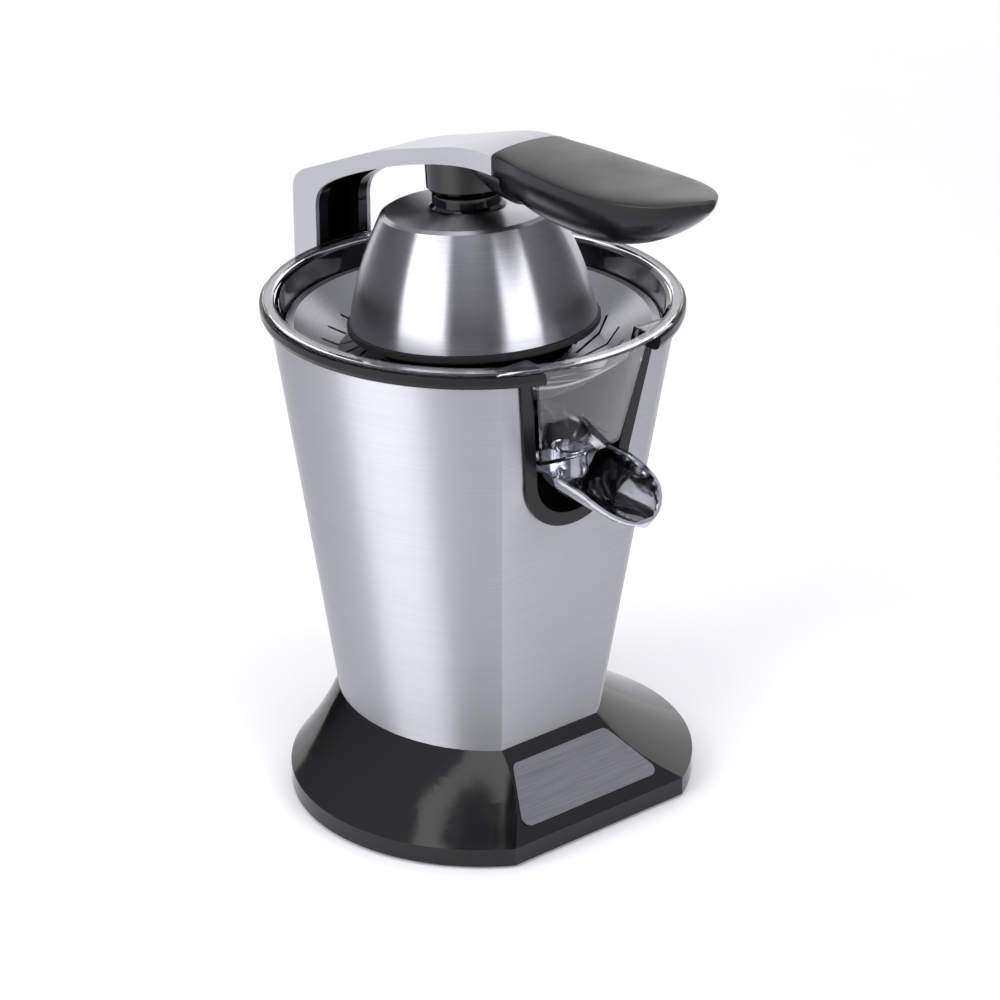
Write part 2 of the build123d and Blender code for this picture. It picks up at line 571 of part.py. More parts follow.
def spout_form(shrink, lift):
    """A round-bottomed trough, lofted from back to tip; lift carries its open side up."""
    taper = SPOUT_TAPER_Y - SPOUT_ROUND_Y
    stations = [SPOUT_BACK_Y - shrink] + [SPOUT_TAPER_Y - taper * share for share in (0, 0.35, 0.7, 1)]
    for turn in (12, 25, 38, 50, 61, 72, 82):
        stations.append(lerp(SPOUT_ROUND_Y, SPOUT_TIP_Y + shrink, sin(radians(turn))))
    trough = Plane.XZ * make_face([CenterArc((0, 0), 10, 180, 180), Line((10, 0), (-10, 0))])
    faces = []
    for y in stations:
        wide = spout_width(y) - shrink
        deep = spout_depth(y) - shrink + lift
        faces.append(Pos(0, y, spout_rim(y) + lift) * scale(trough, by=(wide / 10, 1, deep / 10)))
    return loft(faces, ruled=True)


spout = spout_form(0, 0) - spout_form(SPOUT_WALL, 2.0)
for side in (-1, 1):
    inner = side * (SPOUT_W - 2.2)
    outer = side * (SPOUT_W + 4.0)
    spout = spout + cross_rod(SPOUT_PIN_R, min(inner, outer), max(inner, outer), *SPOUT_PIVOT)
parts["spout"] = spout


# ---------------------------------------------------------------- hinge bracket
LUG_R = 8.0
PLATE_HALF = 19.0
BRACKET_BACK = RIM_R + 2.2
bracket = block(-PLATE_HALF, PLATE_HALF, RIM_R - 22, BRACKET_BACK, PIVOT_Z - 23, RIM_Z - 1)
bracket = bracket - sleeve_form(PIVOT_Z - 33, RIM_Z + 5.5, -FLAT_GAP)
stem = block(-LUG_W, LUG_W, RIM_R, PIVOT_Y, PIVOT_Z - LUG_R, PIVOT_Z + LUG_R)
bracket = bracket + stem + cross_rod(LUG_R, -LUG_W, LUG_W, PIVOT_Y, PIVOT_Z)
bracket = bracket - cross_rod(HINGE_PIN_R + SEAT_GAP, -30, 30, PIVOT_Y, PIVOT_Z)
BRACKET_HEAD_R = 3.4
BRACKET_HEAD = 1.8
for x, z in BRACKET_SCREWS:
    bracket = bracket - screw_line(x, z, BRACKET_SCREW_R + 0.2, RIM_R - 12, RIM_R + 28)
    bracket = bracket - screw_line(x, z, BRACKET_HEAD_R + 0.2, BRACKET_BACK - BRACKET_HEAD, BRACKET_BACK + 5)
parts["hinge_bracket"] = bracket
parts["bracket_screws"] = Compound(children=[
    screw_line(x, z, BRACKET_SCREW_R - SEAT_GAP, SCREW_TIP_Y + 0.1, BRACKET_BACK - BRACKET_HEAD)
    + screw_line(x, z, BRACKET_HEAD_R, BRACKET_BACK - BRACKET_HEAD, BRACKET_BACK) for x, z in BRACKET_SCREWS])
parts["hinge_pin"] = cross_rod(HINGE_PIN_R, -ARM_W + 0.3, ARM_W - 0.3, PIVOT_Y, PIVOT_Z)
WASHER = ARM_W - ARM_WALL - LUG_W - 0.2
parts["hinge_washers"] = Compound(children=[
    cross_rod(6.0, x0, x0 + WASHER, PIVOT_Y, PIVOT_Z) - cross_rod(HINGE_PIN_R + SEAT_GAP, -30, 30, PIVOT_Y, PIVOT_Z)
    for x0 in (-LUG_W - 0.1 - WASHER, LUG_W + 0.1)])

# ---------------------------------------------------------------- arm, at rest
BEAM_TOP = PIVOT_Z + 104.8            # top of the arm where the grip starts
BEAM_UNDER = BEAM_TOP - 8.6


def from_hinge(points):
    return [(PIVOT_Y - back, PIVOT_Z + rise) for back, rise in points]


UPPER = from_hinge([(-9.0, 46.0), (-6.3, 55.4), (5.5, 62.4), (29.5, 72.4), (59.9, 84.6), (96.7, 95.6),
                    (123.0, 102.8)]) + [(GRIP_Y, BEAM_TOP)]
LOWER = from_hinge([(9.0, 41.0), (11.7, 52.0), (21.0, 59.2), (44.5, 70.2), (74.6, 81.4), (96.6, 87.9),
                    (122.9, 94.2)]) + [(GRIP_Y, BEAM_UNDER)]


def arm_side():
    """Side view of the arm: a pillar with a round foot at the hinge, and the beam over the bowl."""
    upper = Spline(*UPPER)
    lower = Spline(*LOWER)
    back = Line((ARM_BACK_Y, PIVOT_Z), UPPER[0])
    front = Line((ARM_FRONT_Y, PIVOT_Z), LOWER[0])
    nose = Line(UPPER[-1], LOWER[-1])
    foot = ThreePointArc((ARM_FRONT_Y, PIVOT_Z), (PIVOT_Y, PIVOT_Z - EAR_R), (ARM_BACK_Y, PIVOT_Z))
    return make_face([back, upper, nose, lower, front, foot])


def arm_plan(inset):
    """Plan view of the arm: it widens in front, towards the grip."""
    wide = ARM_GRIP_W - inset
    slim = ARM_W - inset
    bends = [(wide, GRIP_Y - 4), (lerp(slim, wide, 0.75), GRIP_Y + 24), (lerp(slim, wide, 0.2), GRIP_Y + 50), (slim, PIVOT_Y - 70.5)]
    outline = make_face([
        Spline(*bends), Line(bends[-1], (slim, PIVOT_Y + 24)), Line((slim, PIVOT_Y + 24), (-slim, PIVOT_Y + 24)),
        Line((-slim, PIVOT_Y + 24), (-slim, bends[-1][1])), Spline(*[(-x, y) for x, y in bends]),
        Line((-wide, GRIP_Y - 4), (wide, GRIP_Y - 4))])
    return Pos(0, 0, PIVOT_Z - 33) * extrude(outline, amount=170)


def under_curve(points, drop):
    """Everything below and in front of a curve like the arm's top, moved in by drop."""
    inner = offset_curve(points, -drop)
    curve = Spline(*inner)
    start, end = inner[0], inner[-1]
    outline = [curve, Line(end, (GRIP_Y - 4, end[1])), Line((GRIP_Y - 4, end[1]), (GRIP_Y - 4, PIVOT_Z + 37)),
               Line((GRIP_Y - 4, PIVOT_Z + 37), (PIVOT_Y - 46, PIVOT_Z - 63)),
               Line((PIVOT_Y - 46, PIVOT_Z - 63), (start[0], PIVOT_Z - 63)), Line((start[0], PIVOT_Z - 63), start)]
    return make_face(outline)


WEB_END = PIVOT_Z + 14
arm_form = prism_side(arm_side(), 30) & arm_plan(0)
arm_cavity = prism_side(under_curve(UPPER, ARM_WALL), 30) & arm_plan(ARM_WALL)
arm_shell = arm_form - arm_cavity
foot_gap = block(-ARM_W + ARM_WALL, ARM_W - ARM_WALL, PIVOT_Y - 26, PIVOT_Y + 24, PIVOT_Z - 23, WEB_END)
arm_shell = arm_shell - foot_gap - cross_rod(HINGE_PIN_R + RUN_GAP, -40, 40, PIVOT_Y, PIVOT_Z)
parts["arm_shell"] = arm_shell

LINER_IN = 0.6
SOCKET_ZONE = 26.0
liner = prism_side(under_curve(UPPER, ARM_WALL + 0.05) & arm_side(), 30) & arm_plan(ARM_WALL + 0.05)
liner = liner - foot_gap
recess = prism_side(under_curve(UPPER, ARM_WALL + 3.0), ARM_W - ARM_WALL - LINER_STRIP + 1)
liner = liner - (recess & block(-30, 30, SOCKET_ZONE, 140, 100, 400))
parts["arm_liner"] = liner


def raised(shape):
    """From the pressed position to rest, about the hinge."""
    return shape.rotate(Axis((0, PIVOT_Y, PIVOT_Z), (1, 0, 0)), -RAISE)


# ---------------------------------------------------------------- grip
GRIP_GAP = 0.15
GRIP_W = 24.6                          # half width at its widest


def along_grip(values):
    """(share of the grip's length, value) points as (y, value) points."""
    return [(lerp(GRIP_Y - GRIP_GAP, GRIP_TIP_Y, share), value) for share, value in values]


SEAM = along_grip([(0, BEAM_TOP), (0.363, BEAM_TOP + 0.2), (0.623, BEAM_TOP + 1.0), (0.883, BEAM_TOP + 3.8),
                   (1, BEAM_TOP + 5.8)])
UNDER = along_grip([(0, BEAM_TOP - 24.2), (0.19, BEAM_TOP - 26.2), (0.424, BEAM_TOP - 26.8),
                    (0.666, BEAM_TOP - 21.8), (0.84, BEAM_TOP - 12.4), (1, BEAM_TOP + 1.8)])
GRIP_PLAN = along_grip([(0, ARM_GRIP_W), (0.276, GRIP_W - 1.6), (0.536, GRIP_W), (0.727, GRIP_W - 1.8),
                        (0.883, GRIP_W - 8.2), (1, 4.0)])


def at(points, y):
    """Smooth value of a list of (y, value) points, by a spline through them."""
    curve = Spline(*points)
    line = Line((y, -500), (y, 500))
    return curve.intersect(line).vertices()[0].Y if y not in (points[0][0], points[-1][0]) else (
        points[0][1] if y == points[0][0] else points[-1][1])


GRIP_STATIONS = [y for y, _ in along_grip([(t, 0) for t in (0, 0.155, 0.311, 0.467, 0.605, 0.727, 0.831, 0.918, 0.974, 1)])]


def grip_loft(lower):
    faces = []
    for y in GRIP_STATIONS:
        arc = CenterArc((0, 0), 10, 180, 180) if lower else CenterArc((0, 0), 10, 0, 180)
        half = Plane.XZ * make_face([arc, Line((-10, 0), (10, 0))])
        width = at(GRIP_PLAN, y)
        seam = at(SEAM, y)
        tall = seam - at(UNDER, y) if lower else GRIP_CROWN * (0.3 + 0.7 * width / GRIP_W)
        lift = 0 if lower else 0.05
        faces.append(Pos(0, y, seam + lift) * scale(half, by=(width / 10, 1, tall / 10)))
    return loft(faces)


ABOVE = BEAM_TOP + 22                  # clear above the whole arm
grip_bottom = grip_loft(True)
root_faces = []
for y, width, top, tall in ((GRIP_Y + 23, 13.0, BEAM_UNDER - 3.6, 7.4), (GRIP_Y + 12, 16.6, BEAM_UNDER - 1.4, 13.0),
                            (GRIP_Y - 4, 19.0, BEAM_UNDER - 0.8, 15.2)):
    half = Plane.XZ * make_face([CenterArc((0, 0), 10, 180, 180), Line((-10, 0), (10, 0))])
    root_faces.append(Pos(0, y, top) * scale(half, by=(width / 10, 1, tall / 10)))
grip_root = loft(root_faces) - prism_side(make_face([
    Spline(*[(y, z - 0.2) for y, z in LOWER]), Line((GRIP_Y, LOWER[-1][1] - 0.2), (GRIP_Y, ABOVE)),
    Line((GRIP_Y, ABOVE), (ARM_FRONT_Y, ABOVE)), Line((ARM_FRONT_Y, ABOVE), (ARM_FRONT_Y, LOWER[0][1] - 0.2))]), 40)
tongue = block(-14, 14, GRIP_Y - 14, GRIP_Y + 14, BEAM_UNDER + 0.4, BEAM_TOP - 2.8)
grip_bottom = grip_bottom + grip_root + tongue
parts["grip_bottom"] = grip_bottom
parts["arm_liner"] = parts["arm_liner"] - block(-14.3, 14.3, GRIP_Y - 10, GRIP_Y + 14.3, BEAM_UNDER - 0.2, BEAM_TOP - 2.5)
parts["grip_top"] = grip_loft(False)

# ---------------------------------------------------------------- socket, dome and neck
above_beam = prism_side(make_face([
    Spline(*[(y, z - 0.1) for y, z in LOWER]), Line((GRIP_Y, LOWER[-1][1] - 0.1), (GRIP_Y, ABOVE)),
    Line((GRIP_Y, ABOVE), (ARM_FRONT_Y, ABOVE)), Line((ARM_FRONT_Y, ABOVE), (ARM_FRONT_Y, LOWER[0][1] - 0.1))]), 40)
socket = turned([(0, SOCKET_Z), (SOCKET_R - 1.2, SOCKET_Z), (SOCKET_R, SOCKET_Z + 1.4), (SOCKET_R, ABOVE - 28), (0, ABOVE - 28)],
                DOME_Y)
ball_gap = 0.25
socket = socket - Pos(0, DOME_Y, BALL_Z) * Sphere(BALL_R + ball_gap)
socket = socket - cross_rod(TRUNNION_R + RUN_GAP, -TRUNNION_END - ball_gap, TRUNNION_END + ball_gap, DOME_Y, BALL_Z)
socket = socket - turned([(0, SOCKET_Z - 1), (STEM_R + 2.2, SOCKET_Z - 1), (STEM_R + 1.0, BALL_Z - 3), (0, BALL_Z - 3)],
                         DOME_Y)
socket = raised(socket) - above_beam - block(-40, 40, DOME_Y - 60, DOME_Y - 13.1, PIVOT_Z, ABOVE + 60)
parts["dome_socket"] = socket

neck = turned([(0, DOME_TOP_Z + 0.1), (NECK_R + 1.5, DOME_TOP_Z + 0.1), (NECK_R, DOME_TOP_Z + 1.4), (NECK_R, NECK_TOP - 0.8),
               (NECK_R - 0.8, NECK_TOP), (0, NECK_TOP)], DOME_Y)
neck = neck + rod(STEM_R, NECK_TOP - 1, BALL_Z, y=DOME_Y) + Pos(0, DOME_Y, BALL_Z) * Sphere(BALL_R)
NECK_SPIGOT_R = 6.0
neck = neck + rod(NECK_SPIGOT_R, SHOULDER_Z - 6, DOME_TOP_Z + 1, y=DOME_Y)
neck = neck + cross_rod(TRUNNION_R, -TRUNNION_END, TRUNNION_END, DOME_Y, BALL_Z)
parts["dome_neck"] = raised(neck)

DOME_BELLY = 2.4                        # how far the dome's side bows out between rim and shoulder


def dome_side(inset, z0, z1):
    """Radius points of the dome's bowed side, made smaller by inset."""
    points = []
    for index in range(9):
        z = lerp(z0, z1, index / 8)
        t = (z - DOME_Z) / (SHOULDER_Z - DOME_Z)
        points.append((lerp(DOME_R, SHOULDER_R, t) + DOME_BELLY * 4 * t * (1 - t) - inset, z))
    return points


def dome_layer(outset, wall, z0, y):
    """One shell of the dome; outset is its depth under the outer skin."""
    drop = outset
    outer = Spline(*dome_side(outset, z0, SHOULDER_Z - 1.2 - drop))
    inner = Spline(*dome_side(outset + wall, z0, SHOULDER_Z - 1.2 - drop - wall))
    start_o, end_o = outer @ 0, outer @ 1
    start_i, end_i = inner @ 0, inner @ 1
    crown_o = (SHOULDER_R - 1.6 - outset, SHOULDER_Z - drop + 0.05)
    crown_i = (SHOULDER_R - 1.6 - outset - wall, SHOULDER_Z - drop - wall + 0.05)
    hole = NECK_SPIGOT_R + 0.05
    top_o = (hole, DOME_TOP_Z - drop)
    top_i = (hole, DOME_TOP_Z - drop - wall)
    face = make_face(Plane.XZ * Wire([
        outer, Line(end_o, crown_o), Line(crown_o, top_o), Line(top_o, top_i), Line(top_i, crown_i),
        Line(crown_i, end_i), inner, Line(start_i, start_o)]))
    return Pos(0, y, 0) * revolve(face, Axis.Z)


parts["press_dome"] = raised(dome_layer(0, DOME_WALL, DOME_Z, DOME_Y))
LINING_GAP = 0.1
parts["dome_lining"] = raised(dome_layer(DOME_WALL + LINING_GAP, LINING_WALL, DOME_Z + 6, DOME_Y))
RING_IN = DOME_R - 4.0
ring = turned([(RING_IN, DOME_RING_Z), (DOME_RING_R - 0.8, DOME_RING_Z), (DOME_RING_R, DOME_RING_Z + 1.0),
               (DOME_RING_R, DOME_Z - 0.4), (DOME_R - 1.45, DOME_Z - 0.1), (DOME_R - 2.6, DOME_Z + 5.6),
               (RING_IN - 0.4, DOME_Z + 5.6)], DOME_Y)
parts["dome_rim_ring"] = raised(ring)

# ---------------------------------------------------------------- reamer and drive shaft
reamer_skin = [(0.01, REAMER_TIP - 3), (6.0, REAMER_Z + 34.4), (13.0, REAMER_Z + 24.4), (23.0, REAMER_Z + 13.4),
               (34.0, REAMER_Z + 5.8), (REAMER_R - 2, REAMER_Z + 3.0)]
HUB_R = SHAFT_R + 5.5
core_curve = Spline(*reamer_skin)
reamer_face = make_face(Plane.XZ * Wire([
    core_curve, Line(reamer_skin[-1], (REAMER_R, REAMER_Z + 2.2)), Line((REAMER_R, REAMER_Z + 2.2), (REAMER_R, REAMER_Z)),
    Line((REAMER_R, REAMER_Z), (REAMER_R - 2, REAMER_Z)), Line((REAMER_R - 2, REAMER_Z), (REAMER_R - 3, REAMER_Z + 1)),
    Line((REAMER_R - 3, REAMER_Z + 1), (32.0, REAMER_Z + 3.4)), Line((32.0, REAMER_Z + 3.4), (20.0, REAMER_Z + 12.0)),
    Line((20.0, REAMER_Z + 12.0), (HUB_R, REAMER_Z + 22.4)), Line((HUB_R, REAMER_Z + 22.4), (HUB_R, REAMER_Z)),
    Line((HUB_R, REAMER_Z), (0.01, REAMER_Z)),
    Line((0.01, REAMER_Z), (0.01, REAMER_TIP - 3))]))
reamer = revolve(reamer_face, Axis.Z)
rib_outline = make_face(Polyline((0, REAMER_TIP), (4.0, REAMER_TIP - 1.5), (12.0, REAMER_Z + 31.9), (24.0, REAMER_Z + 17.9),
                                 (36.0, REAMER_Z + 7.4), (REAMER_R - 2.5, REAMER_Z + 2.6), (30.0, REAMER_Z + 4.8),
                                 (14.0, REAMER_Z + 17.4), (0, REAMER_Z + 31.4), close=True))
rib = extrude(Plane.XZ * rib_outline, amount=1.1, both=True)
for index in range(REAMER_RIBS):
    reamer = reamer + Rot(0, 0, 360 / REAMER_RIBS * index) * rib
HEX_GAP = 0.15
BORE_TOP = SHAFT_TOP + 0.8
reamer = reamer - hexagon(HEX_FLATS + 2 * HEX_GAP, REAMER_Z - 1, BORE_TOP)
parts["reamer"] = reamer

HEX_FROM = CHIMNEY_TOP
SHAFT_COLLAR_R = SHAFT_R + 3.0
shaft = hexagon(HEX_FLATS - 2 * HEX_GAP, SHAFT_LOW, THRUST_Z - 20) + rod(SHAFT_R, THRUST_Z - 20, HEX_FROM)
shaft = shaft + rod(SHAFT_COLLAR_R, THRUST_Z, THRUST_Z + 2) + hexagon(HEX_FLATS, HEX_FROM, SHAFT_TOP)
parts["drive_shaft"] = shaft
parts["shaft_bearing"] = tube(CHIMNEY_BORE - SEAT_GAP, SHAFT_R + RUN_GAP, BOWL_LOW_Z, CHIMNEY_TOP - 8)
parts["shaft_seal"] = tube(CHIMNEY_BORE - SEAT_GAP, SHAFT_R + RUN_GAP, CHIMNEY_TOP - 7, CHIMNEY_TOP - 3.5)


# ---------------------------------------------------------------- gears
def involute(angle):
    return tan(angle) - angle


def gear_outline(teeth, tooth_at):
    """Spur gear outline with straight-sided steps along each involute flank."""
    pitch = MODULE * teeth / 2
    base = pitch * cos(radians(PRESSURE_ANGLE))
    tip = pitch + 0.95 * MODULE
    root = pitch - 1.3 * MODULE
    half = pi / (2 * teeth) - BACKLASH / 4 / pitch
    at_pitch = involute(radians(PRESSURE_ANGLE))
    flank = []
    for step in range(4):
        radius = lerp(max(base, root + 0.25), tip, step / 3)
        turn = half + at_pitch - involute(acos(min(base / radius, 1.0)))
        flank.append((radius, turn))
    flank.insert(0, (root, flank[0][1]))
    points = []
    for tooth in range(teeth):
        middle = radians(tooth_at) + 2 * pi * tooth / teeth
        points += [(r * cos(middle - a), r * sin(middle - a)) for r, a in flank]
        points += [(r * cos(middle + a), r * sin(middle + a)) for r, a in reversed(flank)]
    return make_face(Polyline(*points, close=True))


def gear(teeth, tooth_at, y, z, wide):
    return Pos(0, y, z) * extrude(gear_outline(teeth, tooth_at), amount=wide)


HALF_PITCH = 180 / WHEEL_TEETH
PINION_TOP = PINION_Z + PINION_WIDE
SHAFT_END = PINION_TOP + 1.0
IDLER_Z = PINION_Z + 1.0
IDLER_TOP = FINAL_Z + FINAL_WIDE + 0.2
BOX_FLOOR = BOX_Z + 2.5

parts["rotor_pinion"] = gear(PINION_TEETH, 90, 0, PINION_Z, PINION_WIDE) - rod(SHAFT_R + SEAT_GAP, 90, 120)
idler = gear(WHEEL_TEETH, 270 + HALF_PITCH, CENTRES, IDLER_Z, WHEEL_WIDE)
idler = idler + gear(PINION_TEETH, 270, CENTRES, IDLER_Z + WHEEL_WIDE, IDLER_TOP - IDLER_Z - WHEEL_WIDE)
parts["idler_gear"] = idler - rod(AXLE_R + RUN_GAP, 90, 140, y=CENTRES)
final = gear(WHEEL_TEETH, 90 + HALF_PITCH, 0, FINAL_Z, FINAL_WIDE)
final = final + rod(JOURNAL_R, FINAL_Z + FINAL_WIDE, COVER_Z + COVER_THICK - 0.2)
parts["final_gear"] = final - hexagon(HEX_FLATS, FINAL_Z - 1, COVER_Z + COVER_THICK)

# ---------------------------------------------------------------- gearbox
def box_plan(radius, z0, z1):
    """Racetrack that holds both gear axes."""
    return Pos(0, CENTRES / 2, z0) * extrude(
        Rot(0, 0, 90) * SlotCenterToCenter(CENTRES, 2 * radius), amount=z1 - z0)


box = box_plan(BOX_R + BOX_WALL, BOX_Z, COVER_Z) - box_plan(BOX_R, BOX_FLOOR, COVER_Z + 1)
box = box + block(-STATOR_W / 2, STATOR_W / 2, -STATOR_W / 2, STATOR_W / 2, BOX_Z, BOX_FLOOR)
box = box + rod(6, BOX_Z, IDLER_Z - 0.3, y=CENTRES)
box = box - rod(AXLE_R + SEAT_GAP, BOX_Z - 1, IDLER_Z + 5, y=CENTRES) - rod(BUSH_R + SEAT_GAP, BOX_Z - 1, BOX_Z + 5)
BOX_EARS = [(-BOX_R - 5, 18), (BOX_R + 5, 18), (0, CENTRES + BOX_R + 5), (0, -BOX_R - 5)]
for x, y in BOX_EARS:
    ear = rod(4.5, BOX_FLOOR - 0.5, COVER_Z, x, y) - box_plan(BOX_R, BOX_Z, COVER_Z + 1)
    box = box + ear - rod(SCREW_R + 0.02, COVER_Z - 12, COVER_Z + 1, x, y)
for x in (-BOLT_SPAN, BOLT_SPAN):
    for y in (-BOLT_SPAN, BOLT_SPAN):
        box = box - rod(BOLT_R + 0.1, BOX_Z - 1, BOX_FLOOR + 1, x, y)
parts["gearbox_housing"] = box

COVER_TOP = COVER_Z + COVER_THICK
GUIDE_TOP = THRUST_Z - 6.5
cover = box_plan(BOX_R + BOX_WALL, COVER_Z, COVER_TOP)
for x, y in BOX_EARS:
    cover = cover + rod(4.5, COVER_Z, COVER_TOP, x, y)
cover = cover + rod(JOURNAL_R + 3, FINAL_Z + FINAL_WIDE + 0.3, COVER_Z) + rod(6, IDLER_TOP + 0.3, COVER_Z, y=CENTRES)
cover = cover + tube(CUP_R + 2, CUP_R + RUN_GAP, COVER_Z, GUIDE_TOP)
cover = cover - rod(JOURNAL_R + RUN_GAP, FINAL_Z, COVER_TOP - 0.1) - rod(SHAFT_R + 1.2, COVER_Z, COVER_TOP + 1)
cover = cover - rod(AXLE_R + SEAT_GAP, IDLER_TOP - 2, COVER_TOP + 1, y=CENTRES)
for x, y in BOX_EARS:
    cover = cover - rod(SCREW_R + 0.2, COVER_Z - 1, COVER_TOP + 1, x, y)
parts["gearbox_cover"] = cover
parts["gearbox_screws"] = Compound(children=[
    rod(SCREW_R, COVER_Z - 10, COVER_TOP, x, y) + rod(SCREW_HEAD_R, COVER_TOP, COVER_TOP + SCREW_HEAD, x, y)
    for x, y in BOX_EARS])
parts["idler_axle"] = rod(AXLE_R, BOX_Z, COVER_TOP, y=CENTRES)

# press carriage: the shaft's thrust cup, its spring, and the switch that starts the motor
CUP_TOP = THRUST_Z - 0.05
cup = turned([(SHAFT_R + 0.4, CUP_TOP - 2.4), (CUP_R - 1.8, CUP_TOP - 2.4), (CUP_R - 1.8, CUP_TOP - 10),
              (CUP_R, CUP_TOP - 10), (CUP_R, CUP_TOP), (SHAFT_R + 0.4, CUP_TOP)])
TAB_END = 27.0
cup = cup + block(CUP_R - 1, TAB_END, -3, 3, CUP_TOP - 2.4, CUP_TOP)
parts["thrust_cup"] = cup
SPRING_R = 8.0
SPRING_WIRE = 0.8
spring_z0 = COVER_TOP + SPRING_WIRE
spring_z1 = CUP_TOP - 2.4 - SPRING_WIRE
coil = Helix(pitch=(spring_z1 - spring_z0) / 5, height=spring_z1 - spring_z0, radius=SPRING_R)
coil_face = Plane(origin=coil @ 0, z_dir=coil % 0) * Circle(SPRING_WIRE)
parts["return_spring"] = Pos(0, 0, spring_z0) * sweep(coil_face, path=coil, is_frenet=True)
SWITCH_X = 23.5
SWITCH_TOP = COVER_TOP + 10
switch = block(SWITCH_X - 4, SWITCH_X + 4, -10, 10, COVER_TOP, SWITCH_TOP)
PLUNGER_R = 1.4
parts["micro_switch"] = switch - rod(PLUNGER_R + RUN_GAP, COVER_TOP + 1.0, SWITCH_TOP + 1, SWITCH_X)
parts["switch_plunger"] = rod(PLUNGER_R, COVER_TOP + 1.2 + PRESS_TRAVEL, CUP_TOP - 2.45, SWITCH_X)

# ---------------------------------------------------------------- motor
STATOR_TOP = STATOR_Z + STATOR_HIGH
FRAME_TOP = FRAME_Z + FRAME_THICK
core = block(-STATOR_W / 2, STATOR_W / 2, -STATOR_W / 2, STATOR_W / 2, STATOR_Z, STATOR_TOP)
core = fillet(core.edges().filter_by(Axis.Z), 8) - rod(ROTOR_R + AIR_GAP, 0, 150)
BOLTS = [(x, y) for x in (-BOLT_SPAN, BOLT_SPAN) for y in (-BOLT_SPAN, BOLT_SPAN)]
for x, y in BOLTS:
    core = core - rod(BOLT_R + 0.1, 0, 150, x, y)
parts["stator_core"] = core
WINDING_R = 33.0
parts["motor_windings"] = Compound(children=[
    tube(WINDING_R, ROTOR_R + 2, STATOR_Z - 7, STATOR_Z - 0.1),
    tube(WINDING_R, ROTOR_R + 2, STATOR_TOP + 0.1, STATOR_TOP + 6)])
parts["rotor_core"] = tube(ROTOR_R, SHAFT_R + SEAT_GAP, STATOR_Z, STATOR_TOP)
SHAFT_FOOT = FRAME_Z - 1.5
parts["rotor_shaft"] = rod(SHAFT_R, SHAFT_FOOT, SHAFT_END)

frame = rod(44, FRAME_Z, FRAME_TOP) + block(-38, 38, -38, 38, FRAME_Z, FRAME_TOP)
for x in (-LEG_X, LEG_X):
    for y in (-LEG_Y, LEG_Y):
        frame = frame + rod(LEG_R, PLATE_TOP + MOUNT_HIGH, FRAME_Z, x, y) + rod(LEG_R, FRAME_Z, FRAME_TOP, x, y)
frame = frame - rod(BUSH_R + SEAT_GAP, 0, 80)
for x, y in BOLTS:
    frame = frame - rod(BOLT_R + 0.1, FRAME_Z - 4, 80, x, y)
for turn in range(6):
    frame = frame - Rot(0, 0, 60 * turn + 30) * rod(6, FRAME_Z - 1, FRAME_TOP + 1, 24, 0)
parts["motor_frame"] = frame
parts["motor_mounts"] = Compound(children=[
    rod(LEG_R + 1, PLATE_TOP, PLATE_TOP + MOUNT_HIGH, x, y) for x in (-LEG_X, LEG_X) for y in (-LEG_Y, LEG_Y)])
parts["lower_bearing"] = rod(BUSH_R, SHAFT_FOOT - 1.1, FRAME_TOP) - rod(SHAFT_R + RUN_GAP, SHAFT_FOOT - 0.1, 80)
parts["upper_bearing"] = tube(BUSH_R, SHAFT_R + RUN_GAP, BOX_Z - 0.3, BOX_FLOOR + 0.5)
spacers = []
for x, y in BOLTS:
    spacers.append(tube(4.2, BOLT_R + 0.1, FRAME_TOP, STATOR_Z, x, y))
    spacers.append(tube(4.2, BOLT_R + 0.1, STATOR_TOP, BOX_Z, x, y))
parts["motor_spacers"] = Compound(children=spacers)
parts["motor_bolts"] = Compound(children=[
    rod(BOLT_R, FRAME_Z, BOX_FLOOR + 0.3, x, y) + rod(BOLT_R + 1.6, FRAME_Z - 1.6, FRAME_Z, x, y)
    for x, y in BOLTS])

# ---------------------------------------------------------------- write the parts
for name, shape in parts.items():
    export_step(shape, f"parts/{name}.step")
print(len(parts), "parts written")
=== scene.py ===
# Citrus press with a lever arm: the looks of each piece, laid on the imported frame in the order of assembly.
# Lengths are in metres once in Blender. Sizes written in millimetres are turned to metres by MM.
from math import cos, pi, radians, sin

import bpy
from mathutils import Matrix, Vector


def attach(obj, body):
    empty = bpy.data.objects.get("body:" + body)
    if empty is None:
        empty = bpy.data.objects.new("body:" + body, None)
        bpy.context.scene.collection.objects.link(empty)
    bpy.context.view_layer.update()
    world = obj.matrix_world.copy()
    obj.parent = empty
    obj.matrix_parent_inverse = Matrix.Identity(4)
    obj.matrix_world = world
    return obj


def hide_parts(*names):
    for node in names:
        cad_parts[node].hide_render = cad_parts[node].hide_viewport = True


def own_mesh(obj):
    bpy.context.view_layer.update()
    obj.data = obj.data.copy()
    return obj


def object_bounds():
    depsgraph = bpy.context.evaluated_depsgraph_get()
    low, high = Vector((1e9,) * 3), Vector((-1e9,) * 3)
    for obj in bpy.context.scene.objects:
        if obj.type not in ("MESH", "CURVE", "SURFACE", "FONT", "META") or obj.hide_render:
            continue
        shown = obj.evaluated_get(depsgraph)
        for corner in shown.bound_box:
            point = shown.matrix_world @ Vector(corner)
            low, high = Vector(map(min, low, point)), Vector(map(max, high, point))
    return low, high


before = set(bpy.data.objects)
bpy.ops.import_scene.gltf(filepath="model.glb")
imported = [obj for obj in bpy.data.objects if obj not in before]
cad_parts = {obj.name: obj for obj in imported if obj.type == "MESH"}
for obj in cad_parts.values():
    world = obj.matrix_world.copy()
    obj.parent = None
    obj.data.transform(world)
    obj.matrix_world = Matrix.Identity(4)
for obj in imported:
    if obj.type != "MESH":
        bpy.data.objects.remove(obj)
cad_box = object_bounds()
MM = 0.001

